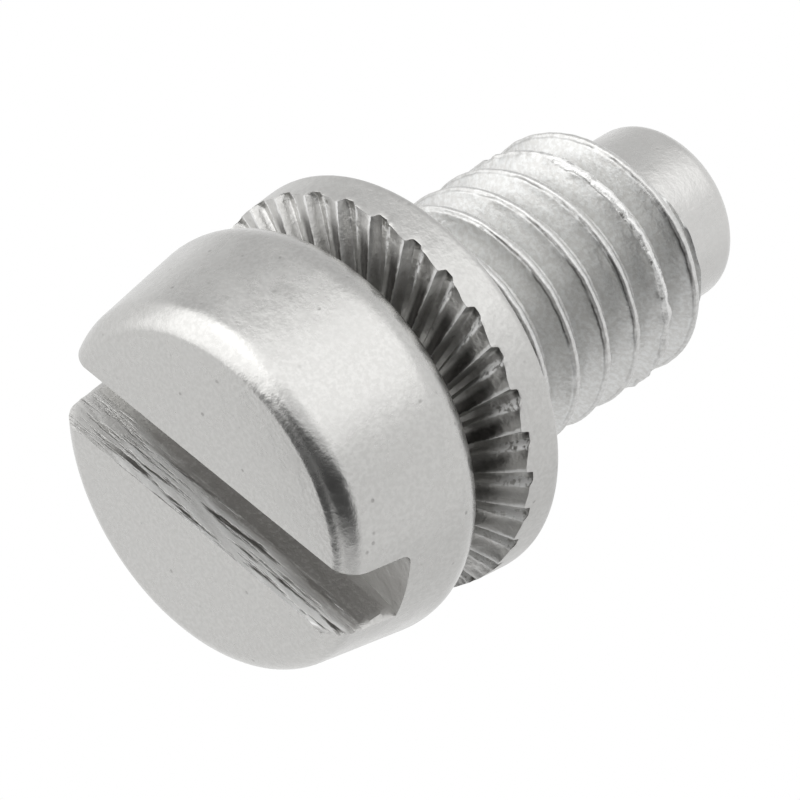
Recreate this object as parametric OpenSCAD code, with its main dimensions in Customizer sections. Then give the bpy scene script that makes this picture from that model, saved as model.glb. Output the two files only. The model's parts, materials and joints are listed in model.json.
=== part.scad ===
// Slotted cheese-head screw with a pilot point and a captive ribbed contact washer.
// It stands on its slotted face: the origin is the middle of that face and +Z runs to the tip.

/* [Head] */
// Largest diameter of the head, near its underside
head_d = 9.36; // [8:0.02:12]
// Height of the head, from the slotted face to the underside
head_h = 3.95; // [3:0.05:5]
// Diameter of the flat slotted face
face_d = 7.52; // [6:0.02:9]
// Radius of the edge round the slotted face
front_round = 0.66; // [0.3:0.02:1]
// Radius of the edge round the underside
rear_round = 1; // [0.3:0.05:1.4]

/* [Driver slot] */
// Width of the sawn slot
slot_w = 1.78; // [1.2:0.02:2.2]
// Depth of the slot in the middle of the head
slot_depth = 1.98; // [1:0.02:2.4]
// Diameter of the slotting saw, which leaves the floor curved
slot_saw_d = 52; // [30:1:90]
// Direction of the slot, seen from the tip
slot_angle = -31.3; // [-90:0.1:90]

/* [Shank] */
// Length from the underside of the head to the end of the pilot
shank_l = 11.05; // [9:0.02:20]
// How far the neck lies below the thread crests
neck_relief = 0.34; // [0.3:0.01:0.45]
// Size of the 45 degree taper where the neck joins the head
neck_taper = 0.4; // [0.2:0.01:0.5]

/* [Thread] */
// Diameter over the thread crests
thread_d = 6; // [5.6:0.01:6.4]
// Distance from one crest to the next
pitch = 1; // [0.75:0.05:1.25]
// Angle between the two flanks
flank_angle = 60; // [55:1:65]
// Width of the flat on the crests
crest_flat = 0.22; // [0.1:0.01:0.25]
// Width of the flat in the roots
root_flat = 0.14; // [0.05:0.01:0.2]
// Direction in which a crest would leave the neck
thread_turn = -173.5; // [-180:0.5:180]
// Length over which the thread rises out of the neck
runout_l = 0.9; // [0.5:0.05:1.5]
// Length over which the last turns shrink towards the pilot
entry_l = 0.5; // [0.3:0.05:2]
// How far the thread's end leans out of square, above and below its middle
end_lean = 0.33; // [0:0.01:0.4]
// Direction in which the thread reaches furthest along the pilot
end_turn = 15; // [-180:1:180]
// Height of the step from the thread's end down to the pilot
end_step = 0.26; // [0.05:0.01:0.3]

/* [Pilot] */
// Diameter of the plain pilot
pilot_d = 4.26; // [3.4:0.02:4.5]
// Length of the pilot
pilot_l = 1.83; // [1.2:0.01:4]
// Radius of the edge round the pilot's end
pilot_round = 0.4; // [0.1:0.02:0.6]
// How much wider the pilot is at its foot, inside the thread
foot_flare = 0.04; // [0.01:0.01:0.08]
// How far the tapering foot reaches past the thread's end
foot_reach = 0.1; // [0.05:0.01:0.3]

/* [Washer] */
// Outside diameter of the washer
washer_d = 9.44; // [8.6:0.02:14]
// Thickness of the washer at its rim, from the ribs to the land
washer_t = 1.02; // [0.9:0.01:1.6]
// Slope of the conical washer, in degrees
washer_cone = 19; // [8:0.5:22]
// Radial gap between the bore and the neck
bore_gap = 0.08; // [0.02:0.01:0.1]
// Gap between the bore's edge and the taper under the head
seat_gap = 0.04; // [0.02:0.01:0.1]
// How far the washer can move along the neck
washer_play = 0.7; // [0.4:0.05:1.5]
// Width of the flat land that bears on the busbar
land_w = 0.55; // [0.4:0.05:0.9]
// Radius of the edge round the land
rim_round = 0.18; // [0.05:0.01:0.28]
// Width of the bevel that narrows the rim towards the ribs
rim_bevel_w = 0.08; // [0.05:0.01:0.4]
// Height of that bevel
rim_bevel_h = 0.8; // [0.2:0.01:0.8]

/* [Ribs] */
// Number of ribs round the washer
rib_count = 30; // [24:1:34]
// Depth of the grooves between the ribs
groove_depth = 0.24; // [0.15:0.01:0.4]
// Width of a groove's steep side, at the rim
groove_steep_w = 0.14; // [0.05:0.01:0.2]
// Width of a groove's bottom, at the rim
groove_floor_w = 0.08; // [0.03:0.01:0.12]
// Width of a groove's long slope, at the rim
groove_slope_w = 0.52; // [0.3:0.01:0.56]
// Share of those widths that is left at the bore
groove_taper = 0.55; // [0.4:0.01:0.6]
// Slant of the grooves from the radial direction, in degrees
groove_slant = 15.5; // [0:0.5:25]
// Direction of the first groove, at the rim
groove_turn = 3.2; // [0:0.1:12]

/* [Hidden] */
$fn = 96;

// Head outline: two edge circles and the side between them.
// The side touches the rear circle and starts just inside the front one, so that they cross cleanly.
side_inset = 0.005;
head_r = head_d / 2;
face_r = face_d / 2;
front_centre = [face_r, front_round];
rear_centre = [head_r - rear_round, head_h - rear_round];
edge_span = rear_centre - front_centre;
side_normal = atan2(edge_span[1], edge_span[0]) - acos((front_round - rear_round) / norm(edge_span));
side_front = front_centre + (front_round - side_inset) * [cos(side_normal), sin(side_normal)];
side_rear = rear_centre + rear_round * [cos(side_normal), sin(side_normal)];

// Thread section
major_r = thread_d / 2;
thread_h = (pitch - crest_flat - root_flat) / 2 / tan(flank_angle / 2);
minor_r = major_r - thread_h;
neck_r = major_r - neck_relief;
pilot_r = pilot_d / 2;
// The thread starts on a ring a little wider than the neck
ring_step = 0.05;
blank_r = neck_r + ring_step;
lead_r = pilot_r + end_step;
// How far the neck and the pilot reach into the thread, so that they join
joint_lap = 0.05;

// Washer section
bore_r = neck_r + bore_gap;
washer_r = washer_d / 2;
rib_r = washer_r - rim_bevel_w;
cone_slope = tan(washer_cone);
crown_z = head_h + neck_taper - bore_gap + seat_gap;
rib_edge_z = crown_z + (rib_r - bore_r) * cone_slope;
land_z = rib_edge_z + washer_t;
land_r = washer_r - land_w;
dish_z = land_z - (land_r - bore_r) * cone_slope;

// Places along the axis
thread_z = dish_z + washer_play;
tip_z = head_h + shank_l;
thread_end_z = tip_z - pilot_l;

// Thread surface: rows follow the helix, columns go round it
columns = 48;
crest_edge = crest_flat / pitch / 2;
root_edge = 0.5 - root_flat / pitch / 2;
flank_middle = (crest_edge + root_edge) / 2;
turn_rows = [
    -crest_edge, 0, crest_edge, flank_middle,
    root_edge, 0.5, 1 - root_edge, 1 - flank_middle
];
turns = ceil((thread_end_z + end_lean - thread_z) / pitch) + 2;
rows = turns * len(turn_rows);

// Cutting tools overshoot the faces that they cut by this much
overshoot = 0.05;

// Turns round the axis, counted from a crest, of one row of the thread surface
function row_turns(row) = floor(row / len(turn_rows)) - 1 + turn_rows[row % len(turn_rows)];

// Direction of one column of the thread surface
function column_angle(column) = thread_turn + 360 * column / columns;

// Height of the leaning end ring at one column
function end_ring_z(column) = thread_end_z + end_lean * cos(column_angle(column) - end_turn);

// Height of one point of the thread surface, kept between its two end rings.
// A point nearer to a ring than half a step of the helix lies on the ring.
function thread_point_z(column, row) =
    let (
        z = thread_z + pitch * (row_turns(row) + column / columns),
        end_z = end_ring_z(column),
        half_step = pitch / columns / 2
    )
    z < thread_z + half_step ? thread_z
    : z > end_z - half_step ? end_z
    : z;

// Radius of the full thread at a distance, in turns, from a crest
function section_r(turns_off) =
    let (off = abs(turns_off - round(turns_off)))
    off <= crest_edge ? major_r
    : off >= root_edge ? minor_r
    : major_r - (off - crest_edge) / (root_edge - crest_edge) * thread_h;

// Radius with the run-out at the neck and the shrinking last turns
function thread_point_r(column, row) =
    let (
        z = thread_point_z(column, row),
        rise = min(1, (z - thread_z) / runout_l),
        full = section_r((z - thread_z) / pitch - column / columns),
        limit = lead_r + (major_r - lead_r) * (end_ring_z(column) - z) / entry_l
    )
    min(limit, blank_r + rise * (full - blank_r));

function thread_point(column, row) =
    let (
        angle = column_angle(column),
        r = thread_point_r(column, row)
    )
    [r * cos(angle), r * sin(angle), thread_point_z(column, row)];

// Number of a point: past the last column a row goes on as the row one turn higher
function point_id(column, row) =
    column < columns
        ? column * rows + min(row, rows - 1)
        : min(row + len(turn_rows), rows - 1);

// The two triangles of one cell, without those that the end rings flatten
function cell_faces(points, column, row) =
    let (
        a = point_id(column, row),
        b = point_id(column + 1, row),
        c = point_id(column + 1, row + 1),
        d = point_id(column, row + 1),
        split = norm(points[a] - points[c]) < norm(points[b] - points[d])
            ? [[a, c, b], [a, d, c]]
            : [[a, d, b], [b, d, c]]
    )
    [for (face = split)
        if (points[face[0]] != points[face[1]]
            && points[face[1]] != points[face[2]]
            && points[face[2]] != points[face[0]])
        face];

module head_outline() {
    polygon([
        [0, 0], [face_r, 0], side_front, side_rear,
        [rear_centre[0], head_h], [0, head_h]
    ]);
    translate(front_centre) circle(r = front_round);
    translate(rear_centre) circle(r = rear_round);
}

module neck_outline() {
    polygon([
        [0, head_h - rear_round], [neck_r + neck_taper, head_h - rear_round],
        [neck_r + neck_taper, head_h], [neck_r, head_h + neck_taper],
        [neck_r, thread_z + joint_lap], [0, thread_z + joint_lap]
    ]);
}

// The slot is what a round saw of its width takes away
module driver_slot() {
    rotate([0, 0, slot_angle])
        translate([0, slot_w / 2, slot_depth - slot_saw_d / 2])
            rotate([90, 0, 0])
                cylinder(d = slot_saw_d, h = slot_w, $fn = 360);
}

module thread() {
    points = [
        for (column = [0:columns - 1])
            for (row = [0:rows - 1])
                thread_point(column, row)
    ];
    sides = [
        for (column = [0:columns - 1])
            for (row = [0:rows - 2])
                each cell_faces(points, column, row)
    ];
    start = [for (column = [0:columns - 1]) point_id(column, 0)];
    end = [for (column = [columns - 1:-1:0]) point_id(column, rows - 1)];
    polyhedron(points = points, faces = concat(sides, [start, end]));
}

module pilot() {
    base_z = thread_end_z - end_lean - joint_lap;
    foot_z = thread_end_z + end_lean + foot_reach;
    rotate_extrude() {
        polygon([
            [0, base_z], [pilot_r + foot_flare, base_z], [pilot_r, foot_z],
            [pilot_r, tip_z - pilot_round], [pilot_r - pilot_round, tip_z], [0, tip_z]
        ]);
        translate([pilot_r - pilot_round, tip_z - pilot_round]) circle(r = pilot_round);
    }
}

module screw() {
    color("gainsboro") {
        difference() {
            rotate_extrude() {
                head_outline();
                neck_outline();
            }
            driver_slot();
        }
        thread();
        pilot();
    }
}

module washer_outline() {
    polygon([
        [bore_r, crown_z], [rib_r, rib_edge_z], [washer_r, rib_edge_z + rim_bevel_h],
        [washer_r, land_z - rim_round], [washer_r - rim_round, land_z],
        [land_r, land_z], [bore_r, dish_z]
    ]);
    translate([washer_r - rim_round, land_z - rim_round]) circle(r = rim_round);
}

// One groove between two ribs: it starts at the rim and runs inwards along the cone, getting narrower.
// Its deepest line lies next to the steep side, so that the ribs are saw teeth.
module groove() {
    slope_end = groove_floor_w + groove_slope_w;
    lead = overshoot + groove_depth + rim_bevel_w;
    run = (rib_r - bore_r) / cos(washer_cone) / cos(groove_slant);
    translate([rib_r, 0, rib_edge_z])
        rotate([0, -washer_cone, 0])
            rotate([0, 0, -groove_slant])
                translate([lead, 0, 0])
                    rotate([90, 0, -90])
                        linear_extrude(run + 2 * lead, scale = [groove_taper, 1], slices = 1, $fn = 4)
                            polygon([
                                [groove_steep_w, -overshoot], [groove_steep_w, 0],
                                [0, groove_depth], [-groove_floor_w, groove_depth],
                                [-slope_end, 0], [-slope_end, -overshoot]
                            ]);
}

module washer() {
    color("silver")
        difference() {
            rotate_extrude() washer_outline();
            for (rib = [0:rib_count - 1])
                rotate([0, 0, groove_turn + rib * 360 / rib_count])
                    groove();
        }
}

screw();
washer();
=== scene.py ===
import json
import math
from functools import reduce

import bpy
from bpy.props import FloatProperty, FloatVectorProperty, IntProperty, PointerProperty
from mathutils import Matrix, Vector, noise


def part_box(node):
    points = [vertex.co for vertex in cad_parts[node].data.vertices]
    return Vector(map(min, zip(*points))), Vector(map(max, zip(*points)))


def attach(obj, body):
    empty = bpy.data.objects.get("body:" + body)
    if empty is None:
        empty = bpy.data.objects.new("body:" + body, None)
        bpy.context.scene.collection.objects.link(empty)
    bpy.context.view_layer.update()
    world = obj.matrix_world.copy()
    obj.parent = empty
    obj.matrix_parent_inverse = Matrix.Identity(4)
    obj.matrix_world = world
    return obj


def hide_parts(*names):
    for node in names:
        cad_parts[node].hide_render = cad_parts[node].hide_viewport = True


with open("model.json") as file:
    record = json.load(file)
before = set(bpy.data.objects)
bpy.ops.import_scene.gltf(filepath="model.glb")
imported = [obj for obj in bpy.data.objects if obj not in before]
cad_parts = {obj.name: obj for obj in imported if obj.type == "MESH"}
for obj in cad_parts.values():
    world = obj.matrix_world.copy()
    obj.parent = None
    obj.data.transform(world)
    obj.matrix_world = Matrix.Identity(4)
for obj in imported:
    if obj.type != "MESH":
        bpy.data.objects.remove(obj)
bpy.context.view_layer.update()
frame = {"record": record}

bl_info = {
    "name": "Contact Screw",
    "version": (1, 0, 0),
    "blender": (4, 5, 0),
    "location": "View3D > Sidebar > Contact Screw",
    "description": "Models a slotted screw with a captive ribbed washer, its finish and its stage",
    "category": "Add Mesh",
}

MM = 0.001
WELD = 1e-4 * MM
AXIS = (0.0, 0.0, 1.0)
ORIGIN = (0.0, 0.0, 0.0)
WHITE = (1.0, 1.0, 1.0, 1.0)

# Sizes that the frame already holds
SCREW_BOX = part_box("screw")
WASHER_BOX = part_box("washer")
MOUNTS = {mount["name"]: mount for mount in frame["record"]["mounts"]}
TIP_Z = SCREW_BOX[1].z
WASHER_RADIUS = WASHER_BOX[1].x
CROWN_Z = WASHER_BOX[0].z
LAND_Z = WASHER_BOX[1].z
PILOT_RADIUS = MOUNTS["pilot"]["dims"]["r_mm"] * MM
SLOT_DEPTH = MOUNTS["driver_slot"]["pos_m"][2]


def length(name, description, mm):
    """A length that a user may change, given in millimetres and kept in metres."""
    return FloatProperty(name=name, description=description, default=mm * MM, unit="LENGTH", precision=5)


def turn(name, description, degrees):
    """An angle that a user may change, given in degrees."""
    return FloatProperty(name=name, description=description, default=math.radians(degrees), subtype="ANGLE")


def share(name, description, value):
    """A number between 0 and 1 that a user may change."""
    return FloatProperty(
        name=name, description=description, default=value, min=0.0, max=1.0, subtype="FACTOR"
    )


def light_level(name, description, value):
    """A level of light that a user may change."""
    return FloatProperty(name=name, description=description, default=value, min=0.0)


def colour(name, description, value):
    """A colour that a user may change."""
    return FloatVectorProperty(
        name=name, description=description, default=value, size=3, min=0.0, max=1.0, subtype="COLOR"
    )


def direction(name, description, value):
    """A direction that a user may change."""
    return FloatVectorProperty(name=name, description=description, default=value, size=3, subtype="DIRECTION")


class HeadSizes(bpy.types.PropertyGroup):
    """Sizes of the cheese head and of its driver slot."""

    radius: length("Radius", "Largest radius of the head", 4.68)
    height: length("Height", "Height from the slotted face to the underside", 3.95)
    face_radius: length("Face radius", "Radius of the flat slotted face", 3.76)
    front_round: length("Front round", "Radius of the edge round the slotted face", 0.66)
    front_crease: turn("Front crease", "Angle left between the face and its round edge", 12)
    rear_round: length("Rear round", "Radius of the edge round the underside", 1.0)
    slot_width: length("Slot width", "Width of the sawn slot", 1.78)
    slot_corner: length("Slot corner", "Rounding where the slot's plainer wall meets its floor", 0.22)
    saw_radius: length("Saw radius", "Radius of the slotting saw", 26.0)
    slot_turn: turn("Slot turn", "Direction of the slot, seen from the tip", -31.3)
    rough_mark: length("Rough marks", "Depth of the saw marks near the mouth of the slot", 0.035)
    fine_mark: length("Fine marks", "Depth of the saw marks near the floor of the slot", 0.006)
    mark_lean: turn("Mark lean", "Lean of the saw marks from the slot's direction", -12)
    lip: length("Slot lip", "Width of the rounded lip where the slot leaves the head's side", 0.2)


class ThreadSizes(bpy.types.PropertyGroup):
    """Sizes of the neck, the rolled thread and the pilot."""

    radius: length("Radius", "Radius over the crests", 3.0)
    depth: length("Depth", "Depth of the thread", 0.554)
    pitch: length("Pitch", "Distance from one crest to the next", 1.0)
    start: length("Start", "Height at which the thread leaves the neck", 6.19)
    start_turn: turn("Start turn", "Direction in which a crest would leave the neck", -173.5)
    runout: length("Run-out", "Length over which the thread rises out of the neck", 0.9)
    entry: length("Entry", "Length over which the last turns shrink", 0.5)
    neck_radius: length("Neck radius", "Radius of the plain neck", 2.66)
    neck_taper: length("Neck taper", "Size of the taper under the head", 0.4)
    end: length("End", "Height of the middle of the thread's end", 13.17)
    end_lean: length("End lean", "How far the thread's end leans out of square", 0.33)
    end_turn: turn("End turn", "Direction in which the thread reaches furthest", 15)
    end_step: length("End step", "Height of the ragged step from the thread to the pilot", 0.26)
    foot_flare: length("Foot flare", "How much wider the pilot is at its foot, inside the thread", 0.04)
    tip_round: length("Tip round", "Radius of the edge round the pilot's end", 0.4)
    ragged: length("Raggedness", "How far the crests wander from a true helix", 0.02)
    torn: length("Torn crest", "How far the last full crest is torn up", 0.05)


class WasherSizes(bpy.types.PropertyGroup):
    """Sizes of the conical washer and of its ribs."""

    bore_radius: length("Bore radius", "Radius of the hole for the neck", 2.74)
    cone: turn("Cone", "Slope of the cone", 19)
    bevel_width: length("Bevel width", "Width of the bevel round the rim", 0.08)
    bevel_height: length("Bevel height", "Height of the bevel round the rim", 0.8)
    rim_round: length("Rim round", "Radius of the edge round the land", 0.18)
    land_width: length("Land width", "Width of the land that bears on the busbar", 0.55)
    rib_count: IntProperty(
        name="Ribs", description="Number of ribs round the washer", default=30, min=8, max=60
    )
    rim_depth: length("Groove depth at the rim", "Depth of the grooves between the ribs, at the rim", 0.25)
    bore_depth: length("Groove depth at the bore", "Depth of the grooves between the ribs, at the bore", 0.33)
    rib_slant: turn("Rib slant", "Slant of the ribs from the radial direction", 15.5)
    rib_turn: turn("Rib turn", "Direction of the first groove's steep side at the rim", 0.8)
    steep_share: share("Steep side", "Share of a rib's width on its steep side", 0.1)
    floor_share: share("Floor", "Share of a rib's width at the bottom of its groove", 0.2)
    rise_share: share("Rise", "Share of a rib's width on the rough rise out of its groove", 0.16)
    rise_height: share("Rise height", "Share of the groove's depth that the rough rise takes", 0.55)
    ragged: length("Raggedness", "How uneven the stamped ribs are", 0.032)


class FinishColours(bpy.types.PropertyGroup):
    """Colours of the plated steel."""

    plating: colour("Plating", "Colour of the plated surfaces", (0.557, 0.553, 0.54))
    dull: colour("Dull plating", "Colour of the duller grains", (0.50, 0.496, 0.483))
    thread: colour("Rolled thread", "Colour of the rolled flanks", (0.65, 0.655, 0.65))
    # Bright metal is painted highlight on the thread's crests and a painted sheen over the pilot
    bright: colour("Bright metal", "Colour of rubbed crests and edges", (0.665, 0.66, 0.648))
    sawn: colour("Sawn metal", "Colour of the sawn slot", (0.45, 0.44, 0.43))
    # Torn metal also paints the highlights on the washer's ribs; with the dark streaks it paints highlight
    # and shade among the slot's torn marks
    torn: colour("Torn metal", "Colour of freshly torn metal", (0.8, 0.8, 0.79))
    streak: colour("Dark streaks", "Colour of the lines between torn streaks", (0.14, 0.135, 0.13))
    # Deep metal is the colour of the pits, and painted shade in the thread's crack and in the washer's
    # pockets, notches and inner ring
    deep: colour("Deep metal", "Colour in cracks and grooves", (0.09, 0.086, 0.082))


class StageSettings(bpy.types.PropertyGroup):
    """Camera, light and floor round the screw."""

    eye: FloatVectorProperty(
        name="Camera place", description="Where the camera stands", subtype="TRANSLATION", unit="LENGTH",
        default=(0.0, -77.191 * MM, -52.335 * MM), size=3,
    )
    right: direction("Camera right", "Direction to the right of the picture", (0.52817, -0.51262, 0.67695))
    up: direction("Camera up", "Direction to the top of the picture", (-0.84912, -0.31389, 0.42481))
    lens: FloatProperty(name="Lens", description="Focal length in millimetres", default=202.5, min=20.0)
    sky: light_level("Sky", "Level of the light from all round", 1.0)
    softbox: light_level("Softbox", "Added level of the soft light above", 0.566)
    side_light: light_level("Side light", "Added level of the soft light on the left, in softboxes", 1.45)
    shade: share("Shade", "How far the dark side of the room is darkened", 0.94)
    lamp: FloatProperty(
        name="Lamp", description="Power of the lamp overhead", default=0.007, unit="POWER", min=0.0
    )
    floor: colour("Floor", "Colour of the floor", (0.76, 0.76, 0.76))


class ContactScrewSettings(bpy.types.PropertyGroup):
    """Everything about the screw that a user may change."""

    head: PointerProperty(type=HeadSizes)
    thread: PointerProperty(type=ThreadSizes)
    washer: PointerProperty(type=WasherSizes)
    finish: PointerProperty(type=FinishColours)
    stage: PointerProperty(type=StageSettings)


# Small helpers for modelling


def leave_edit_mode():
    """Goes back to object mode with nothing selected."""
    if bpy.context.mode != "OBJECT":
        bpy.ops.object.mode_set(mode="OBJECT")
    bpy.ops.object.select_all(action="DESELECT")


def select_only(piece):
    """Selects one object and makes it the active one."""
    leave_edit_mode()
    piece.select_set(True)
    bpy.context.view_layer.objects.active = piece


def smooth(low, high, value):
    """Eases from 0 at low to 1 at high."""
    t = min(1.0, max(0.0, (value - low) / (high - low)))
    return t * t * (3 - 2 * t)


def mix(a, b, t):
    """The value a share t of the way from a to b."""
    return a + (b - a) * t


def rough(x, y, z, seed=0.0):
    """Smooth noise between about -1 and 1."""
    return noise.noise(Vector((x + seed, y - seed, z + 0.37 * seed)))


def arc(centre, radius, start, end, steps):
    """Points of an arc in an outline, with its angles in radians from the outward direction."""
    turns = [mix(start, end, step / steps) for step in range(steps + 1)]
    return [(centre[0] + radius * math.cos(a), centre[1] + radius * math.sin(a)) for a in turns]


def line(start, end, steps):
    """Points of a straight stretch of an outline, with both ends."""
    return [(mix(start[0], end[0], s / steps), mix(start[1], end[1], s / steps)) for s in range(steps + 1)]


def draw_outline(name, points):
    """A chain of edges through outline points, drawn by extruding one vertex, left in edit mode."""
    leave_edit_mode()
    bpy.ops.mesh.primitive_plane_add(size=MM, location=ORIGIN)
    piece = bpy.context.object
    piece.name = name
    bpy.ops.object.mode_set(mode="EDIT")
    bpy.ops.mesh.select_all(action="SELECT")
    bpy.ops.mesh.merge(type="CENTER")
    bpy.ops.transform.translate(value=(points[0][0], 0.0, points[0][1]))
    for before, after in zip(points, points[1:]):
        step = (after[0] - before[0], 0.0, after[1] - before[1])
        bpy.ops.mesh.extrude_region_move(TRANSFORM_OT_translate={"value": step})
    bpy.ops.mesh.select_all(action="SELECT")
    return piece


def weld(piece):
    """Merges doubled vertices and turns the faces outwards."""
    select_only(piece)
    bpy.ops.object.mode_set(mode="EDIT")
    bpy.ops.mesh.select_all(action="SELECT")
    bpy.ops.mesh.remove_doubles(threshold=WELD)
    bpy.ops.mesh.dissolve_degenerate(threshold=WELD)
    bpy.ops.mesh.fill_holes(sides=0)
    bpy.ops.mesh.normals_make_consistent(inside=False)
    bpy.ops.object.mode_set(mode="OBJECT")


def turned_piece(name, points, steps):
    """A solid turned from an outline that starts and ends on the axis."""
    piece = draw_outline(name, points)
    bpy.ops.mesh.spin(steps=steps, angle=2 * math.pi, center=ORIGIN, axis=AXIS, use_auto_merge=True)
    weld(piece)
    return piece


def combine(piece, other, operation):
    """Adds another solid to a piece, or cuts it away, and deletes the other one."""
    select_only(piece)
    before = len(piece.data.polygons)
    change = piece.modifiers.new(operation.title(), "BOOLEAN")
    change.operation = operation
    change.object = other
    change.solver = "MANIFOLD"
    change.material_mode = "TRANSFER"
    bpy.ops.object.modifier_apply(modifier=change.name)
    bpy.data.objects.remove(other)
    if len(piece.data.polygons) in (0, before):
        raise RuntimeError(f"{operation} failed on {piece.name}")


def shade_softly(piece, sharp_angle):
    """Smooth shading that keeps flat faces flat and real edges sharp."""
    select_only(piece)
    bpy.ops.object.shade_smooth_by_angle(angle=math.radians(sharp_angle))
    weighted = piece.modifiers.new("Flat faces", "WEIGHTED_NORMAL")
    weighted.keep_sharp = True
    bpy.ops.object.modifier_apply(modifier=weighted.name)


# The screw's own pieces


def head_outline(head, thread):
    """Outline of the head and neck, from the middle of the face to inside the thread."""
    lowest = -math.pi / 2 + head.front_crease
    front = (
        head.face_radius - head.front_round * math.cos(lowest),
        -head.front_round * math.sin(lowest),
    )
    rear = (head.radius - head.rear_round, head.height - head.rear_round)
    span = math.hypot(rear[0] - front[0], rear[1] - front[1])
    side = math.atan2(rear[1] - front[1], rear[0] - front[0])
    side -= math.acos((head.front_round - head.rear_round) / span)
    neck_top = thread.start + 0.3 * MM
    return [
        (0.0, 0.0),
        *arc(front, head.front_round, lowest, side, 14),
        *arc(rear, head.rear_round, side, math.pi / 2, 18),
        (thread.neck_radius + thread.neck_taper, head.height),
        (thread.neck_radius, head.height + thread.neck_taper),
        (thread.neck_radius, neck_top),
        (0.0, neck_top),
    ]


def saw_mark(head, along, deep, side):
    """How far a tooth mark stands out of a slot wall, along and down that wall."""
    lean = head.mark_lean
    run = (along * math.cos(lean) + deep * math.sin(lean)) / MM
    cross = (deep * math.cos(lean) - along * math.sin(lean)) / MM
    streak = 0.7 * rough(0.45 * run, 4.2 * cross, 0.0, side * 5.0)
    streak += 0.5 * rough(0.9 * run, 10.0 * cross, 2.0, side * 9.0)
    reach = mix(1.2, 0.85, smooth(-3.0, 3.0, along / MM))
    torn = smooth(reach + 0.15, reach - 0.3, deep / MM + 0.3 * rough(0.8 * run, 0.0, 4.0, side))
    strength = mix(head.fine_mark, head.rough_mark, torn if side > 0 else 0.2 * torn)
    return strength * streak


def head_radius(head, deep):
    """Radius of the head's side at a depth below its face."""
    if deep >= head.front_round:
        return mix(head.face_radius + head.front_round, head.radius, (deep - head.front_round) / head.height)
    inset = head.front_round - max(deep, 0.0)
    return head.face_radius + math.sqrt(head.front_round**2 - inset**2)


def saw_path(head):
    """Cutter in the shape of the slotting saw's path, with its teeth's marks and the lips at its ends."""
    reach, mouth = 1.15 * head.radius, -0.4 * MM
    leave_edit_mode()
    bpy.ops.mesh.primitive_cube_add(size=1.0, location=ORIGIN)
    cutter = bpy.context.object
    bpy.ops.object.mode_set(mode="EDIT")
    bpy.ops.mesh.select_all(action="SELECT")
    bpy.ops.mesh.subdivide(number_cuts=96)
    bpy.ops.object.mode_set(mode="OBJECT")
    turned = Matrix.Rotation(head.slot_turn, 3, "Z")
    for vertex in cutter.data.vertices:
        along, side, level = 2 * reach * vertex.co.x, 2 * vertex.co.y, vertex.co.z + 0.5
        floor = SLOT_DEPTH - head.saw_radius + math.sqrt(head.saw_radius**2 - along**2)
        deep = mix(mouth, floor, level)
        low = max(0.0, deep - floor + head.slot_corner)
        inset = head.slot_corner - math.sqrt(max(0.0, head.slot_corner**2 - low**2))
        across = side * (head.slot_width / 2 - (inset if side < 0 else 0.0))
        past = max(0.0, math.hypot(along, across) - head_radius(head, deep) + head.lip)
        if abs(side) > 0.99:
            opened = 0.7 * past if side > 0 else 0.0
            across += math.copysign(saw_mark(head, along, max(deep, 0.0), side) + opened, side)
        vertex.co = turned @ Vector((along, across, deep))
    return cutter


def thread_outline(thread):
    """Outline of one turn from root to root: a flank, a narrow ledge, a rounded crest and a flank."""
    top, root = thread.radius, thread.radius - thread.depth
    marks = [
        (-0.5, root), (-0.43, root),
        *line((-0.40, root + 0.05 * MM), (-0.19, top - 0.17 * MM), 5),
        (-0.155, top - 0.105 * MM), (-0.135, top - 0.075 * MM), (-0.118, top - 0.062 * MM),
        (-0.102, top - 0.05 * MM), (-0.09, top - 0.028 * MM), (-0.075, top - 0.01 * MM),
        (-0.05, top), (-0.025, top - 0.001 * MM), (0.0, top - 0.005 * MM),
        (0.03, top - 0.014 * MM), (0.06, top - 0.03 * MM), (0.09, top - 0.055 * MM), (0.12, top - 0.088 * MM),
        *line((0.15, top - 0.13 * MM), (0.40, root + 0.05 * MM), 5),
        (0.43, root), (0.5, root),
    ]
    first_crest = thread.start - thread.pitch * (2 + thread.start_turn / (2 * math.pi))
    return [(radius, first_crest + offset * thread.pitch) for offset, radius in marks]


def roll_thread(thread):
    """Moves the points of a true helix to where a worn pair of rolling dies left them."""
    lead = PILOT_RADIUS + thread.end_step

    def rolled(point):
        angle = math.atan2(point.y, point.x)
        radius = math.hypot(point.x, point.y)
        x, y = 3 * math.cos(angle), 3 * math.sin(angle)
        end = thread.end + thread.end_lean * math.cos(angle - thread.end_turn)
        end += thread.torn * rough(0.6 * x, 0.6 * y, 0.0, 3.0)
        z = min(end, max(thread.start, point.z))
        torn = smooth(end - 2.1 * MM, end - 1.9 * MM, z) * smooth(end - 1.3 * MM, end - 1.5 * MM, z)
        crest = smooth(thread.radius - 0.16 * MM, thread.radius - 0.06 * MM, radius)
        blank = thread.neck_radius + 0.05 * MM
        rise = min(1.0, (z - thread.start) / thread.runout)
        radius = blank + rise * (radius - blank)
        wander = rough(1.3 * x, 1.3 * y, 1.3 * z / MM, 1.0) + 0.5 * rough(4 * x, 4 * y, 4 * z / MM, 2.0)
        lumps = rough(5 * x, 5 * y, 5 * z / MM, 12.0)
        inside = min(1.0, (z - thread.start) / (0.3 * MM), (end - z) / (0.3 * MM))
        bumps = wander * thread.ragged + lumps * thread.torn * torn * crest
        radius += inside * mix(0.3, 1.0, crest) * bumps
        step = lead + thread.torn * (rough(0.8 * x, 0.8 * y, 0.0, 6.0) + 0.3 * rough(3 * x, 3 * y, 0.0, 7.0))
        limit = step + (thread.radius - lead) * (end - z) / thread.entry
        radius = min(radius, limit) if z < end else step
        if thread.start < z < end:
            sway = rough(2 * x, 2 * y, 2 * z / MM, 8.0) + 0.6 * rough(6 * x, 6 * y, 6 * z / MM, 9.0)
            z += inside * crest * mix(thread.ragged, thread.torn, torn) * sway
        return Vector((radius * math.cos(angle), radius * math.sin(angle), z))

    return rolled


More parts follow.
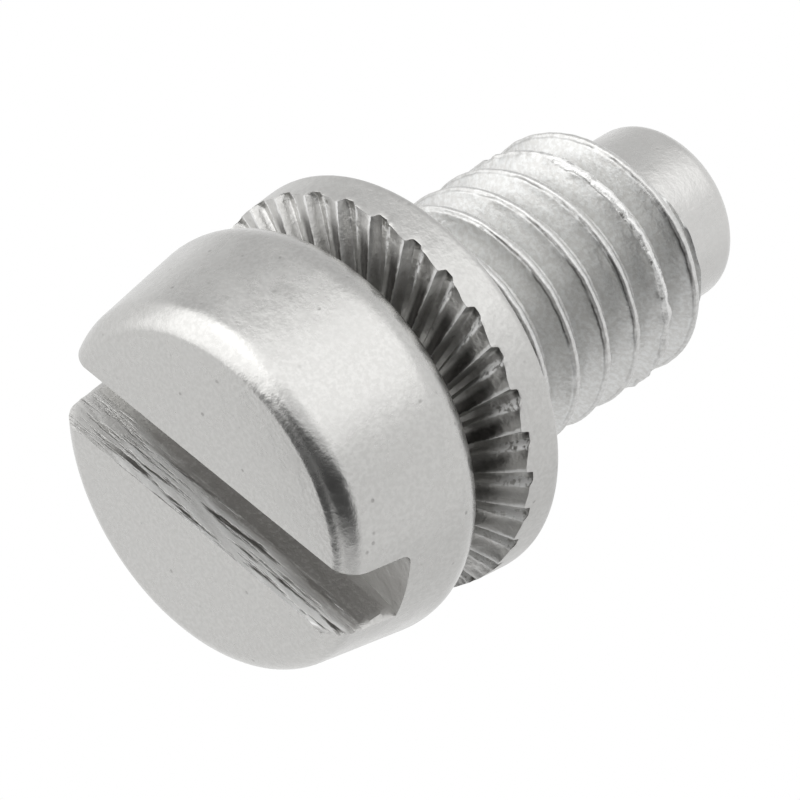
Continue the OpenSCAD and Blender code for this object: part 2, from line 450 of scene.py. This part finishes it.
def rolled_thread(thread):
    """The thread by itself: one outline wound up its helix, then roughened and closed at both ends."""
    piece = draw_outline("thread", thread_outline(thread))
    select_only(piece)
    helix = piece.modifiers.new("Helix", "SCREW")
    helix.axis = "Z"
    helix.angle = 2 * math.pi
    helix.screw_offset = thread.pitch
    helix.iterations = math.ceil((thread.end + thread.end_lean - thread.start) / thread.pitch) + 4
    helix.steps = helix.render_steps = 216
    helix.use_merge_vertices = True
    helix.merge_threshold = WELD
    bpy.ops.object.modifier_apply(modifier=helix.name)
    rolled = roll_thread(thread)
    for vertex in piece.data.vertices:
        vertex.co = rolled(vertex.co)
    weld(piece)
    return piece


def pilot_outline(thread):
    """Outline of the pilot, from inside the thread to the middle of its end."""
    base = thread.end - thread.end_lean - 0.3 * MM
    foot = thread.end + thread.end_lean + 0.1 * MM
    corner = (PILOT_RADIUS - thread.tip_round, TIP_Z - thread.tip_round)
    return [
        (0.0, base),
        (PILOT_RADIUS + thread.foot_flare, base),
        *line((PILOT_RADIUS, foot), (PILOT_RADIUS, corner[1]), 10)[:-1],
        *arc(corner, thread.tip_round, 0.0, math.pi / 2, 10),
        (0.0, TIP_Z),
    ]


def unevenness(piece, depth, grain):
    """Dents a turned piece a little, so that it is not a perfect round."""
    for vertex in piece.data.vertices:
        x, y, z = vertex.co / (grain * MM)
        radius = math.hypot(vertex.co.x, vertex.co.y)
        if radius > MM:
            factor = 1 + depth * rough(x, y, z, 11.0) / radius
            vertex.co.x *= factor
            vertex.co.y *= factor


# The washer's own pieces


def slant_turn(washer, rib_radius, radius):
    """How far a straight slanted rib has turned round the axis by the time it is at a radius."""
    inside = min(rib_radius, radius)
    sine = rib_radius * math.sin(washer.rib_slant) / inside
    return math.asin(min(1.0, sine)) - washer.rib_slant


def rib_drop(washer, phase):
    """Depth of the ribbed surface below the crests, as a share, across one saw-tooth rib."""
    floor_end = washer.steep_share + washer.floor_share
    rise_end = floor_end + washer.rise_share
    if phase < floor_end:
        return smooth(0.0, washer.steep_share, phase)
    if phase < rise_end:
        return 1 - washer.rise_height * smooth(floor_end, rise_end, phase)
    slope = (phase - rise_end) / (1 - rise_end)
    return (1 - washer.rise_height) * (1 - smooth(0.0, 1.0, slope))


def washer_outline(washer):
    """Closed outline of the washer's section, from the bore round its ribs, rim and land."""
    slope = math.tan(washer.cone)
    rib_radius = WASHER_RADIUS - washer.bevel_width
    rib_z = CROWN_Z + (rib_radius - washer.bore_radius) * slope
    land_radius = WASHER_RADIUS - washer.land_width
    dish_z = LAND_Z - (land_radius - washer.bore_radius) * slope
    corner = (WASHER_RADIUS - washer.rim_round, LAND_Z - washer.rim_round)
    return [
        *line((washer.bore_radius, CROWN_Z), (rib_radius, rib_z), 16),
        *line((rib_radius, rib_z), (WASHER_RADIUS, rib_z + washer.bevel_height), 8)[1:],
        *arc(corner, washer.rim_round, 0.0, math.pi / 2, 6),
        *line((land_radius, LAND_Z), (washer.bore_radius, dish_z), 6),
        *line((washer.bore_radius, dish_z), (washer.bore_radius, CROWN_Z), 4)[1:],
    ]


def stamp_ribs(washer):
    """Moves the points of a plain cone to the ribs that the stamp left on it."""
    rib_radius = WASHER_RADIUS - washer.bevel_width
    sector = 2 * math.pi / washer.rib_count

    def stamped(point):
        radius, angle = math.hypot(point.x, point.y), math.atan2(point.y, point.x)
        outward = (radius - washer.bore_radius) / (rib_radius - washer.bore_radius)
        depth = mix(washer.bore_depth, washer.rim_depth, outward) / math.cos(washer.cone)
        depth *= smooth(WASHER_RADIUS + 0.04 * MM, rib_radius - 0.06 * MM, radius)
        drop = depth * rib_drop(washer, (angle / sector) % 1.0)
        cone_z = CROWN_Z + (radius - washer.bore_radius) * math.tan(washer.cone)
        angle += slant_turn(washer, rib_radius, radius) + washer.rib_turn
        return Vector((radius * math.cos(angle), radius * math.sin(angle), max(point.z, cone_z + drop)))

    return stamped


def wear_ribs(washer):
    """Makes each rib a little different from its neighbours."""

    def worn(point):
        x, y, z = point / MM
        radius = math.hypot(point.x, point.y)
        ribbed = smooth(LAND_Z - 0.3 * MM, LAND_Z - 0.75 * MM, point.z)
        ribbed *= smooth(washer.bore_radius, washer.bore_radius + 0.2 * MM, radius)
        uneven = 0.8 * rough(1.2 * x, 1.2 * y, 1.2 * z, 4.0) + 0.6 * rough(5 * x, 5 * y, 5 * z, 5.0)
        return point + Vector((0.0, 0.0, ribbed * uneven * washer.ragged))

    return worn


def ribbed_washer(washer):
    """The washer: one rib's sector is spun and stamped, then copied all round."""
    sector = 2 * math.pi / washer.rib_count
    piece = draw_outline("contact_washer", washer_outline(washer))
    bpy.ops.mesh.remove_doubles(threshold=WELD)
    bpy.ops.mesh.spin(steps=36, angle=sector, center=ORIGIN, axis=AXIS)
    bpy.ops.object.mode_set(mode="OBJECT")
    stamped = stamp_ribs(washer)
    lowest = min(math.atan2(vertex.co.y, vertex.co.x) for vertex in piece.data.vertices)
    for vertex in piece.data.vertices:
        vertex.co = stamped(Matrix.Rotation(-lowest, 3, "Z") @ vertex.co)
    bpy.ops.object.mode_set(mode="EDIT")
    bpy.ops.mesh.select_all(action="SELECT")
    bpy.ops.mesh.spin(
        steps=washer.rib_count - 1, dupli=True, angle=2 * math.pi - sector, center=ORIGIN, axis=AXIS
    )
    weld(piece)
    worn = wear_ribs(washer)
    for vertex in piece.data.vertices:
        vertex.co = worn(vertex.co)
    return piece


# Finishes


def new_group(name, inputs, outputs):
    """An empty shader node group with named sockets."""
    group = bpy.data.node_groups.new(name, "ShaderNodeTree")
    for socket, kind in inputs:
        group.interface.new_socket(socket, in_out="INPUT", socket_type=kind)
    for socket, kind in outputs:
        group.interface.new_socket(socket, in_out="OUTPUT", socket_type=kind)
    return group


def add_node(tree, kind, links=(), **values):
    """A node with its settings and, by socket name or number, its values and links."""
    node = tree.nodes.new(kind)
    for key, value in values.items():
        setattr(node, key, value)
    for socket, value in links:
        if isinstance(value, bpy.types.NodeSocket):
            tree.links.new(value, node.inputs[socket])
        else:
            node.inputs[socket].default_value = value
    return node


def math_node(tree, operation, *values):
    """A Math node's output."""
    return add_node(tree, "ShaderNodeMath", list(enumerate(values)), operation=operation).outputs[0]


def product(tree, *values):
    """Several masks or values multiplied together."""
    return reduce(lambda a, b: math_node(tree, "MULTIPLY", a, b), values)


def largest(tree, *values):
    """The largest of several masks."""
    return reduce(lambda a, b: math_node(tree, "MAXIMUM", a, b), values)


def between(tree, mask, low, high):
    """A value that runs from low to high as a mask runs from 0 to 1."""
    return add_node(tree, "ShaderNodeMapRange", [(0, mask), (3, low), (4, high)]).outputs[0]


def ease(tree, value, low, high):
    """A mask that eases from 0 at low to 1 at high."""
    node = add_node(
        tree, "ShaderNodeMapRange", [(0, value), (1, low), (2, high)], interpolation_type="SMOOTHSTEP"
    )
    return node.outputs[0]


def noise_value(tree, vector, scale, detail=3.0, roughness=0.55):
    """A noise texture's value."""
    node = add_node(
        tree, "ShaderNodeTexNoise",
        [("Vector", vector), ("Scale", scale), ("Detail", detail), ("Roughness", roughness)],
    )
    return node.outputs["Fac"]


def mixed(tree, factor, a, b):
    """Two colours mixed by a mask."""
    node = add_node(tree, "ShaderNodeMix", data_type="RGBA")
    for socket, value in ((0, factor), (6, a), (7, b)):
        if isinstance(value, bpy.types.NodeSocket):
            tree.links.new(value, node.inputs[socket])
        else:
            node.inputs[socket].default_value = value
    return node.outputs[2]


def plating_group():
    """Grain of plated steel: fine speckle, soft clouds and pits."""
    group = new_group(
        "Plating grain",
        [("Vector", "NodeSocketVector")],
        [("Speckle", "NodeSocketFloat"), ("Cloud", "NodeSocketFloat"), ("Pit", "NodeSocketFloat"),
         ("Height", "NodeSocketFloat")],
    )
    place = add_node(group, "NodeGroupInput").outputs["Vector"]
    speckle = ease(group, noise_value(group, place, 10.0 / MM, 4.0, 0.6), 0.36, 0.66)
    cloud = ease(group, noise_value(group, place, 1.1 / MM, 4.0, 0.6), 0.32, 0.7)
    cells = add_node(group, "ShaderNodeTexVoronoi", [("Vector", place), ("Scale", 2.6 / MM)])
    sparse = ease(group, noise_value(group, place, 1.9 / MM, 2.0, 0.5), 0.5, 0.62)
    pit = math_node(group, "MULTIPLY", ease(group, cells.outputs["Distance"], 0.17, 0.06), sparse)
    fine = math_node(group, "MULTIPLY", speckle, 0.45)
    soft = noise_value(group, place, 2.6 / MM, 3.0, 0.5)
    height = math_node(group, "SUBTRACT", math_node(group, "MULTIPLY_ADD", soft, 4.0, fine), pit)
    add_node(
        group, "NodeGroupOutput",
        [("Speckle", speckle), ("Cloud", cloud), ("Pit", pit), ("Height", height)],
    )
    return group


def ring_group():
    """Where a point lies on the screw: its distance from the axis and height in millimetres, and its turn."""
    group = new_group(
        "Place on the screw",
        [("Vector", "NodeSocketVector")],
        [("Radius", "NodeSocketFloat"), ("Height", "NodeSocketFloat"), ("Turn", "NodeSocketFloat")],
    )
    place = add_node(group, "NodeGroupInput").outputs["Vector"]
    parts = add_node(group, "ShaderNodeSeparateXYZ", [(0, place)])
    flat = add_node(group, "ShaderNodeCombineXYZ", [(0, parts.outputs[0]), (1, parts.outputs[1])])
    radius = add_node(
        group, "ShaderNodeVectorMath", [(0, flat.outputs[0])], operation="LENGTH"
    ).outputs["Value"]
    angle = math_node(group, "ARCTAN2", parts.outputs[1], parts.outputs[0])
    add_node(
        group, "NodeGroupOutput",
        [("Radius", math_node(group, "DIVIDE", radius, MM)),
         ("Height", math_node(group, "DIVIDE", parts.outputs[2], MM)),
         ("Turn", math_node(group, "DIVIDE", angle, 2 * math.pi))],
    )
    return group


def screw_place(tree, ring, place):
    """Radius, height and turn of a point on the screw, from the shared group."""
    where = add_node(tree, "ShaderNodeGroup", node_tree=ring)
    tree.links.new(place, where.inputs["Vector"])
    return where.outputs["Radius"], where.outputs["Height"], where.outputs["Turn"]


def opaque(value):
    """A colour with full alpha."""
    return (*value, 1.0)


def start_metal(name, grain):
    """A new metal material: its tree, its shader and the grain placed on Object coordinates."""
    material = bpy.data.materials.new(name)
    material.use_nodes = True
    tree = material.node_tree
    shader = tree.nodes["Principled BSDF"]
    shader.inputs["Metallic"].default_value = 1.0
    place = add_node(tree, "ShaderNodeTexCoord").outputs["Object"]
    texture = add_node(tree, "ShaderNodeGroup", node_tree=grain)
    tree.links.new(place, texture.inputs["Vector"])
    return material, tree, shader, place, texture


def finish_metal(tree, shader, base, roughness, height, depth):
    """Wires colour, roughness and bump into a metal's shader."""
    bump = add_node(tree, "ShaderNodeBump", [("Height", height), ("Distance", depth), ("Strength", 1.0)])
    tree.links.new(base, shader.inputs["Base Color"])
    tree.links.new(roughness, shader.inputs["Roughness"])
    tree.links.new(bump.outputs[0], shader.inputs["Normal"])


def scatter(tree, shader, mask, amount):
    """Makes torn metal scatter light instead of mirroring it, where a mask says."""
    tree.links.new(math_node(tree, "MULTIPLY_ADD", mask, -amount, 1.0), shader.inputs["Metallic"])


def plated_steel(name, finish, grain, low, high, depth, painted_sheen=0.0):
    """Satin plated steel with speckle, clouds and pits, its roughness from low to high."""
    material, tree, shader, _, texture = start_metal(name, grain)
    # The last argument mixes the whole piece part of the way to bright metal: a painted sheen
    base = mixed(tree, painted_sheen, plated_colour(tree, texture, finish), opaque(finish.bright))
    roughness = between(tree, texture.outputs["Cloud"], low, high)
    finish_metal(tree, shader, base, roughness, texture.outputs["Height"], depth)
    return material


def plated_colour(tree, texture, finish):
    """Colour of plated steel from its grain."""
    base = mixed(tree, texture.outputs["Speckle"], opaque(finish.dull), opaque(finish.plating))
    base = mixed(tree, product(tree, texture.outputs["Cloud"], 0.35), base, opaque(finish.plating))
    return mixed(tree, product(tree, texture.outputs["Pit"], 0.4), base, opaque(finish.deep))


def rib_phase(tree, washer, rib_radius, radius, spin, place):
    """How far across its rib a point lies, from one steep side to the next."""
    sine = math_node(tree, "DIVIDE", rib_radius * math.sin(washer.rib_slant), radius)
    slant = math_node(tree, "SUBTRACT", math_node(tree, "ARCSINE", sine), washer.rib_slant)
    turned = math_node(tree, "SUBTRACT", product(tree, spin, 2 * math.pi), slant)
    turned = math_node(tree, "SUBTRACT", turned, washer.rib_turn)
    phase = math_node(tree, "FRACT", product(tree, turned, washer.rib_count / (2 * math.pi)))
    wobble = math_node(tree, "MULTIPLY_ADD", noise_value(tree, place, 5.0 / MM), 0.12, -0.06)
    return math_node(tree, "ADD", phase, wobble)


def stamped_steel(name, finish, grain, ring, washer):
    """Plated steel with painted highlights where a rib rises and along its edge, and painted shade in its
    deep corners.
    """
    material, tree, shader, place, texture = start_metal(name, grain)
    radius, height, spin = screw_place(tree, ring, place)
    rib_radius = (WASHER_RADIUS - washer.bevel_width) / MM
    phase = rib_phase(tree, washer, rib_radius, radius, spin, place)
    slope = math.tan(washer.cone)
    foot = (CROWN_Z - washer.bore_radius * slope) / MM
    cone = math_node(tree, "MULTIPLY_ADD", radius, slope, foot)
    ribbed = ease(tree, math_node(tree, "SUBTRACT", height, cone), 0.42, 0.36)

    # Painted highlights: bright beads on the rough rise of each rib and a bright line along its edge
    floor_end = washer.steep_share + washer.floor_share
    rise_end = floor_end + washer.rise_share
    beads = ease(tree, noise_value(tree, place, 8.0 / MM, 2.0), 0.36, 0.52)
    rise_start = ease(tree, phase, floor_end - 0.06, floor_end)
    rise = product(tree, rise_start, ease(tree, phase, rise_end + 0.06, rise_end), beads)
    edge = product(tree, ease(tree, phase, 0.9, 0.96), 0.8)
    outward = ease(tree, radius, 3.6, 4.3)
    within = ease(tree, radius, rib_radius + 0.02, rib_radius - 0.04)
    painted_sheen = product(tree, largest(tree, rise, edge), outward, within, ribbed)
    scatter(tree, shader, painted_sheen, 0.95)

    # Painted shade: dark pockets beside the head, dark notches at the rim and a darker ring towards the bore,
    # weaker on one side of the washer
    pocket = product(tree, ease(tree, phase, 0.5, 0.72), ease(tree, phase, 1.0, 0.95))
    pocket = product(tree, pocket, ease(tree, radius, 4.45, 3.95), 0.95)
    notch = product(tree, ease(tree, phase, 0.26, 0.14), ease(tree, spin, -0.38, -0.28))
    notch = product(tree, notch, ease(tree, radius, 4.4, 4.52), ease(tree, radius, 4.64, 4.6), 0.6)
    inner = product(tree, ease(tree, radius, 4.25, 3.5), 0.16)
    shaded = between(tree, ease(tree, spin, -0.05, -0.17), 0.3, 1.0)
    dark = product(tree, largest(tree, inner, pocket, notch), shaded, ribbed)
    base = mixed(tree, painted_sheen, plated_colour(tree, texture, finish), opaque(finish.torn))
    base = mixed(tree, dark, base, opaque(finish.deep))
    roughness = between(tree, texture.outputs["Cloud"], 0.3, 0.42)
    finish_metal(tree, shader, base, roughness, texture.outputs["Height"], 0.006 * MM)
    return material


def rolled_steel(name, finish, grain, ring, thread):
    """Smooth rolled flanks, rough crests with a painted highlight, and the painted shade of the crack that
    rolling leaves beside them.
    """
    material, tree, shader, place, texture = start_metal(name, grain)
    _, height, spin = screw_place(tree, ring, place)
    start, end = thread.start / MM, thread.end / MM
    climb = math_node(tree, "DIVIDE", math_node(tree, "SUBTRACT", height, start), thread.pitch / MM)
    turned = math_node(tree, "SUBTRACT", spin, thread.start_turn / (2 * math.pi) + 0.5)
    phase = math_node(tree, "FRACT", math_node(tree, "SUBTRACT", climb, turned))
    wobble = math_node(tree, "MULTIPLY_ADD", noise_value(tree, place, 3.0 / MM), 0.05, -0.525)
    phase = math_node(tree, "ADD", phase, wobble)

    def band(middle, half, soft):
        """Mask of a band along the thread, with its place and width in turns."""
        off = math_node(tree, "ABSOLUTE", math_node(tree, "SUBTRACT", phase, middle))
        return ease(tree, off, half + soft, half)

    # The crest, the painted shade of the crack beside it and the torn stretch near the end
    crest = band(-0.035, 0.045, 0.03)
    near = product(tree, ease(tree, spin, -0.42, -0.36), ease(tree, spin, -0.1, -0.16))
    patchy = ease(tree, noise_value(tree, place, 1.6 / MM), 0.36, 0.56)
    formed = ease(tree, height, start + 0.3, start + 0.9)
    # Painted shade in the crack, in patches, stronger on one side of the screw
    crack = product(tree, band(-0.112, 0.006, 0.02), patchy, formed, between(tree, near, 0.25, 1.0), 0.75)
    late = product(tree, ease(tree, height, end - 2.1, end - 1.95), ease(tree, height, end - 1.4, end - 1.5))
    late = product(tree, late, near)
    torn = product(tree, band(-0.01, 0.1, 0.04), late)
    grit = noise_value(tree, place, 7.0 / MM, 3.0, 0.6)
    white = product(tree, ease(tree, grit, 0.34, 0.5), torn)
    # Painted highlight along each crest, broken up by the speckle
    painted_sheen = product(tree, crest, ease(tree, texture.outputs["Speckle"], -0.1, 1.6))
    base = mixed(tree, texture.outputs["Speckle"], opaque(finish.plating), opaque(finish.thread))
    base = mixed(tree, painted_sheen, base, opaque(finish.bright))
    base = mixed(tree, crack, base, opaque(finish.deep))
    base = mixed(tree, white, base, opaque(finish.torn))
    scatter(tree, shader, white, 0.5)
    roughness = between(tree, largest(tree, crest, late), 0.38, 0.42)
    bumps = math_node(tree, "MULTIPLY_ADD", product(tree, grit, torn), 10.0, texture.outputs["Height"])
    finish_metal(tree, shader, base, roughness, bumps, 0.004 * MM)
    return material


def slot_lip(tree, head, along, side, deep):
    """Mask of the lip where the slot leaves the head's side on the right."""
    shallow = math_node(tree, "SUBTRACT", 1.0, math_node(tree, "DIVIDE", deep, head.front_round / MM))
    shallow = largest(tree, shallow, 0.0)
    bulge = math_node(tree, "SQRT", math_node(tree, "SUBTRACT", 1.0, product(tree, shallow, shallow)))
    outline = math_node(tree, "MULTIPLY_ADD", bulge, head.front_round / MM, head.face_radius / MM)
    squares = math_node(tree, "ADD", product(tree, along, along), product(tree, side, side))
    past = math_node(tree, "SUBTRACT", math_node(tree, "SQRT", squares), outline)
    lip = ease(tree, past, -1.6 * head.lip / MM, -0.9 * head.lip / MM)
    return product(tree, lip, ease(tree, along, 2.5, 3.0))


def sawn_steel(name, finish, grain, head):
    """Slot walls: dark and grainy in the depth, with torn bright and dark streaks near the mouth, partly
    painted highlight and painted shade, and painted light at the left end.
    """
    material, tree, shader, place, texture = start_metal(name, grain)
    turned = add_node(
        tree, "ShaderNodeMapping", [("Vector", place), ("Rotation", (0.0, 0.0, -head.slot_turn))]
    ).outputs[0]
    leaned = add_node(
        tree, "ShaderNodeMapping",
        [("Vector", turned), ("Rotation", (0.0, head.mark_lean, 0.0)), ("Scale", (0.09, 0.5, 1.0))],
    ).outputs[0]
    parts = add_node(tree, "ShaderNodeSeparateXYZ", [(0, turned)])
    along, side, deep = (math_node(tree, "DIVIDE", part, MM) for part in parts.outputs)

    # Torn streaks near the mouth of one wall, reaching less deep towards the right; their pale and dark
    # colours are partly painted highlight and painted shade
    wavy = math_node(tree, "MULTIPLY_ADD", noise_value(tree, leaned, 5.0 / MM, 3.0), 0.9, -0.45)
    reach = add_node(
        tree, "ShaderNodeMapRange", [(0, along), (1, -3.0), (2, 3.0), (3, 1.1), (4, 0.6)]
    ).outputs[0]
    edge = math_node(tree, "SUBTRACT", math_node(tree, "ADD", deep, wavy), reach)
    torn = product(tree, ease(tree, edge, 0.25, -0.25), ease(tree, side, 0.0, 0.2))
    streak = ease(tree, noise_value(tree, leaned, 7.0 / MM, 4.0, 0.6), 0.38, 0.5)
    streaks = mixed(tree, streak, opaque(finish.streak), opaque(finish.torn))

    # Plated colour at the left end, as painted light where that end of the wall is lit, and plain plated
    # metal on the floor and on the right lip
    end = ease(tree, math_node(tree, "ADD", along, wavy), -2.2, -2.9)
    floor = ease(tree, deep, SLOT_DEPTH / MM - 0.5, SLOT_DEPTH / MM - 0.42)
    light = largest(tree, end, floor, slot_lip(tree, head, along, side, deep))
    specks = ease(tree, texture.outputs["Speckle"], 0.6, 1.1)
    base = mixed(tree, specks, opaque(finish.sawn), opaque(finish.plating))
    base = mixed(tree, product(tree, torn, 0.85), base, streaks)
    base = mixed(tree, light, base, opaque(finish.plating))
    marks = product(tree, torn, streak)
    scatter(tree, shader, marks, 0.75)
    roughness = between(tree, torn, 0.42, 0.5)
    bumps = math_node(tree, "MULTIPLY_ADD", marks, 6.0, texture.outputs["Height"])
    finish_metal(tree, shader, base, roughness, bumps, 0.005 * MM)
    return material


def set_material(piece, material):
    """Gives a piece one material all over."""
    piece.data.materials.clear()
    piece.data.materials.append(material)


# The stage

# Each light or dark side of the room, in degrees: its angle from the camera, its turn in the picture, and how
# far round that it is full and where it ends. Dark sides also have a strength.
SOFT_LIGHTS = ((56, 50, 18, 35), (54, 100, 20, 34))
SIDE_LIGHTS = ((59, 152, 27, 41), (72, 176, 16, 32), (75, 124, 17, 30))
DARK_SIDES = (
    (1.0, (30, -92, 20, 32)),
    (1.0, (64, -139, 14, 28)),
    (1.0, (38, -50, 16, 33)),
    (1.0, (30, -146, 9, 22)),
    (0.25, (110, 90, 20, 44)),
    (0.13, (122, -48, 14, 40)),
    (0.25, (62, -80, 14, 32)),
)


def room_light(tree, stage):
    """Light from the room, by direction: pale all round, a soft light above and a dark side below."""
    forward = Vector(stage.right).cross(Vector(stage.up))
    frame_of_picture = (Vector(stage.right), Vector(stage.up), forward)

    def lobe(tilt, spin, inner, outer):
        """Mask round a direction, given by its angle from the camera and its turn in the picture."""
        tilt, spin = math.radians(tilt), math.radians(spin)
        weights = (math.sin(tilt) * math.cos(spin), math.sin(tilt) * math.sin(spin), math.cos(tilt))
        middle = sum((axis * weight for axis, weight in zip(frame_of_picture, weights)), Vector())
        facing = add_node(
            tree, "ShaderNodeVectorMath", [(0, towards), (1, middle)], operation="DOT_PRODUCT"
        ).outputs["Value"]
        return ease(tree, facing, math.cos(math.radians(outer)), math.cos(math.radians(inner)))

    towards = add_node(tree, "ShaderNodeTexCoord").outputs["Generated"]
    over = largest(tree, *(lobe(*place) for place in SOFT_LIGHTS))
    beside = largest(tree, *(lobe(*place) for place in SIDE_LIGHTS))
    bright = math_node(tree, "MULTIPLY_ADD", over, stage.softbox, stage.sky)
    bright = math_node(tree, "MULTIPLY_ADD", beside, stage.side_light * stage.softbox, bright)
    dark = largest(tree, *(product(tree, lobe(*place), strength) for strength, place in DARK_SIDES))
    keep = math_node(tree, "MULTIPLY_ADD", dark, -stage.shade, 1.0)
    return product(tree, bright, keep)


def white_room(stage):
    """World that lights the screw from all round and shows white to the camera."""
    world = bpy.data.worlds.new("Pale room")
    world.use_nodes = True
    bpy.context.scene.world = world
    tree = world.node_tree
    tree.nodes.clear()
    path = add_node(tree, "ShaderNodeLightPath")
    lit = add_node(tree, "ShaderNodeBackground", [("Color", WHITE), ("Strength", room_light(tree, stage))])
    white = add_node(tree, "ShaderNodeBackground", [("Color", WHITE), ("Strength", 1.0)])
    seen = math_node(tree, "MAXIMUM", path.outputs["Is Camera Ray"], path.outputs["Is Transmission Ray"])
    both = add_node(tree, "ShaderNodeMixShader", [(0, seen), (1, lit.outputs[0]), (2, white.outputs[0])])
    add_node(tree, "ShaderNodeOutputWorld", [("Surface", both.outputs[0])])


def pale_floor(stage):
    """Floor under the head. Seen from below it is clear, as the screw is pictured from there."""
    leave_edit_mode()
    bpy.ops.mesh.primitive_plane_add(size=0.6, location=(0.0, 0.0, -0.02 * MM))
    floor = bpy.context.object
    floor.name = "floor"
    material = bpy.data.materials.new("pale_floor")
    material.use_nodes = True
    tree = material.node_tree
    shader = tree.nodes["Principled BSDF"]
    shader.inputs["Base Color"].default_value = opaque(stage.floor)
    shader.inputs["Roughness"].default_value = 0.9
    shader.inputs["Emission Color"].default_value = WHITE
    shader.inputs["Emission Strength"].default_value = 0.15
    below = add_node(tree, "ShaderNodeNewGeometry").outputs["Backfacing"]
    clear = add_node(tree, "ShaderNodeBsdfTransparent").outputs[0]
    both = add_node(tree, "ShaderNodeMixShader", [(0, below), (1, shader.outputs[0]), (2, clear)])
    tree.links.new(both.outputs[0], tree.nodes["Material Output"].inputs["Surface"])
    set_material(floor, material)
    floor.visible_glossy = floor.visible_diffuse = False
    floor.visible_shadow = floor.visible_transmission = False


def overhead_lamp(stage):
    """Broad soft lamp above the standing screw."""
    leave_edit_mode()
    bpy.ops.object.light_add(type="AREA", location=(30 * MM, -40 * MM, 120 * MM))
    lamp = bpy.context.object
    lamp.name = "overhead_lamp"
    lamp.data.energy = stage.lamp
    lamp.data.size = 60 * MM
    lamp.visible_glossy = False
    lamp.rotation_mode = "QUATERNION"
    lamp.rotation_quaternion = lamp.location.to_track_quat("Z", "Y")


def picture_camera(stage):
    """Camera at the photograph's viewing angle."""
    data = bpy.data.cameras.new("Camera")
    camera = bpy.data.objects.new("Camera", data)
    bpy.context.scene.collection.objects.link(camera)
    right, up = Vector(stage.right).normalized(), Vector(stage.up).normalized()
    back = right.cross(up)
    turned = Matrix((right, up, back)).transposed().to_4x4()
    camera.matrix_world = Matrix.Translation(Vector(stage.eye)) @ turned
    data.sensor_width = 36.0
    data.lens = stage.lens
    data.clip_start = 1 * MM
    data.clip_end = 10.0
    bpy.context.scene.camera = camera


# Operators and panel


class CONTACTSCREW_OT_screw(bpy.types.Operator):
    """Model the screw: turned head, sawn slot, rolled thread and pilot in one piece"""

    bl_idname = "contact_screw.model_screw"
    bl_label = "Model the Screw"

    def execute(self, context):
        settings = context.scene.contact_screw
        head, thread, finish = settings.head, settings.thread, settings.finish
        grain = shared_group("Plating grain", plating_group)
        ring = shared_group("Place on the screw", ring_group)
        screw = turned_piece("slotted_screw", head_outline(head, thread), 192)
        set_material(screw, plated_steel("plated_head", finish, grain, 0.21, 0.31, 0.0028 * MM))
        cutter = saw_path(head)
        set_material(cutter, sawn_steel("sawn_slot", finish, grain, head))
        combine(screw, cutter, "DIFFERENCE")
        winding = rolled_thread(thread)
        set_material(winding, rolled_steel("rolled_thread", finish, grain, ring, thread))
        combine(screw, winding, "UNION")
        pilot = turned_piece("pilot", pilot_outline(thread), 128)
        unevenness(pilot, 0.02 * MM, 1.6)
        # The pilot is painted half-way to bright metal, a painted sheen all over it
        set_material(pilot, plated_steel("plated_pilot", finish, grain, 0.24, 0.34, 0.005 * MM, 0.5))
        combine(screw, pilot, "UNION")
        shade_softly(screw, 32)
        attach(screw, "screw")
        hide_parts("screw")
        return {"FINISHED"}


class CONTACTSCREW_OT_washer(bpy.types.Operator):
    """Model the captive washer with its slanted ribs"""

    bl_idname = "contact_screw.model_washer"
    bl_label = "Model the Washer"

    def execute(self, context):
        settings = context.scene.contact_screw
        grain = shared_group("Plating grain", plating_group)
        ring = shared_group("Place on the screw", ring_group)
        washer = ribbed_washer(settings.washer)
        set_material(washer, stamped_steel("stamped_washer", settings.finish, grain, ring, settings.washer))
        shade_softly(washer, 38)
        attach(washer, "washer")
        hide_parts("washer")
        return {"FINISHED"}


class CONTACTSCREW_OT_stage(bpy.types.Operator):
    """Set up the pale room, its lamp, the floor and the camera"""

    bl_idname = "contact_screw.set_stage"
    bl_label = "Set the Stage"

    def execute(self, context):
        stage = context.scene.contact_screw.stage
        white_room(stage)
        pale_floor(stage)
        overhead_lamp(stage)
        picture_camera(stage)
        context.scene.view_settings.view_transform = "Standard"
        return {"FINISHED"}


class CONTACTSCREW_PT_panel(bpy.types.Panel):
    """Lists the steps that make the screw"""

    bl_idname = "CONTACTSCREW_PT_panel"
    bl_label = "Contact Screw"
    bl_space_type = "VIEW_3D"
    bl_region_type = "UI"
    bl_category = "Contact Screw"

    def draw(self, context):
        for operator in (CONTACTSCREW_OT_stage, CONTACTSCREW_OT_screw, CONTACTSCREW_OT_washer):
            self.layout.operator(operator.bl_idname)


CLASSES = (
    HeadSizes,
    ThreadSizes,
    WasherSizes,
    FinishColours,
    StageSettings,
    ContactScrewSettings,
    CONTACTSCREW_OT_screw,
    CONTACTSCREW_OT_washer,
    CONTACTSCREW_OT_stage,
    CONTACTSCREW_PT_panel,
)


def shared_group(name, build):
    """A node group that more than one material uses, built the first time that it is asked for."""
    return bpy.data.node_groups.get(name) or build()


def register():
    """Registers the classes and the scene's settings."""
    for item in CLASSES:
        bpy.utils.register_class(item)
    bpy.types.Scene.contact_screw = PointerProperty(type=ContactScrewSettings)


def unregister():
    """Takes the settings and classes away again."""
    del bpy.types.Scene.contact_screw
    for item in reversed(CLASSES):
        bpy.utils.unregister_class(item)


def main():
    """Makes the stage and both pieces."""
    register()
    bpy.ops.contact_screw.set_stage()
    bpy.ops.contact_screw.model_screw()
    bpy.ops.contact_screw.model_washer()


if __name__ == "__main__":
    main()
